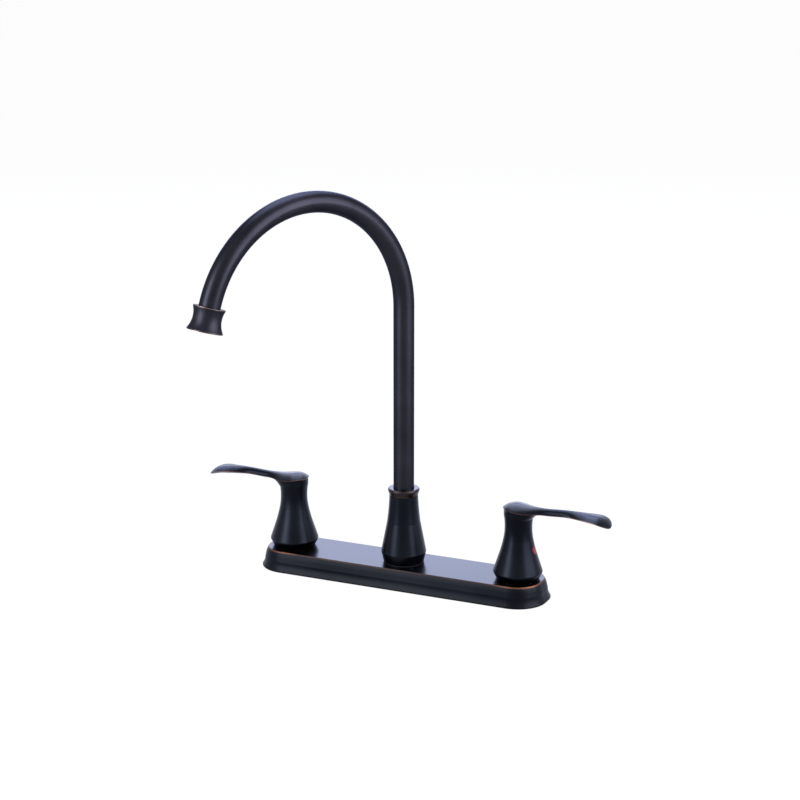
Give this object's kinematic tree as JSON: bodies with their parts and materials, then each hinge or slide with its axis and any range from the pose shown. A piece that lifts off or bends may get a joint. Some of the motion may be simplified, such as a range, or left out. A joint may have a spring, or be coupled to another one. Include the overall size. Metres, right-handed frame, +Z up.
{
  "type": "two handle kitchen faucet",
  "caption": "Deck-mounted kitchen faucet with a gooseneck spout on a tapered post between lever handles on an oblong base plate.",
  "frame": {"origin": "on the sink deck under the middle of the base plate, on the spout's swivel axis", "axes": "+Z up out of the deck, +X towards the right handle as its user sees it, -Y towards the user"},
  "size_m": [0.3594, 0.2134, 0.3948],
  "materials": {
    "bronze": "satin oil rubbed bronze, worn to copper on thin edges",
    "brass": "machined",
    "copper": "drawn tube",
    "zinc_steel": "zinc plated",
    "rubber": "matte",
    "ceramic": "lapped",
    "black_plastic": "moulded",
    "white_plastic": "moulded",
    "grey_plastic": "moulded",
    "red_plastic": "gloss",
    "blue_plastic": "gloss"
  },
  "bodies": {
    "base": {"deck_plate": "bronze", "base_seal": "white_plastic", "spout_hub": "brass", "hub_nut": "brass", "mounting_washers": "zinc_steel", "mounting_nuts": "black_plastic", "spout_base": "bronze", "spout_base_seal": "rubber", "spout_bush": "white_plastic", "spout_collar": "bronze", "thrust_washer": "white_plastic", "left_valve_body": "brass", "left_plate_nut": "brass", "left_cartridge": "brass", "left_cartridge_ring": "rubber", "left_seat_seal": "rubber", "left_fixed_disc": "ceramic", "left_crossover_tube": "copper", "right_valve_body": "brass", "right_plate_nut": "brass", "right_cartridge": "brass", "right_cartridge_ring": "rubber", "right_seat_seal": "rubber", "right_fixed_disc": "ceramic", "right_crossover_tube": "copper"},
    "spout": {"spout_tube": "bronze", "spout_sleeve": "brass", "spout_rings": "rubber", "spout_retainer": "zinc_steel", "spout_outlet": "bronze", "aerator_insert": "grey_plastic", "aerator_screen": "zinc_steel", "outlet_seal": "rubber"},
    "left_handle": {"left_handle": "bronze", "left_stem": "brass", "left_moving_disc": "ceramic", "left_stem_rings": "rubber", "left_stem_clip": "zinc_steel", "left_set_screw": "zinc_steel", "left_index_button": "blue_plastic"},
    "right_handle": {"right_handle": "bronze", "right_stem": "brass", "right_moving_disc": "ceramic", "right_stem_rings": "rubber", "right_stem_clip": "zinc_steel", "right_set_screw": "zinc_steel", "right_index_button": "red_plastic"}
  },
  "joints": [
    {"name": "spout_swivel", "type": "hinge", "parent": "base", "child": "spout", "pos_m": [0, 0, 0.0746], "axis": [0, 0, 1], "continuous": true},
    {"name": "left_handle_turn", "type": "hinge", "parent": "base", "child": "left_handle", "pos_m": [-0.1016, 0, 0.05], "axis": [0, 0, 1], "range_deg": [0, 90]},
    {"name": "right_handle_turn", "type": "hinge", "parent": "base", "child": "right_handle", "pos_m": [0.1016, 0, 0.05], "axis": [0, 0, 1], "range_deg": [-90, 0]}
  ]
}
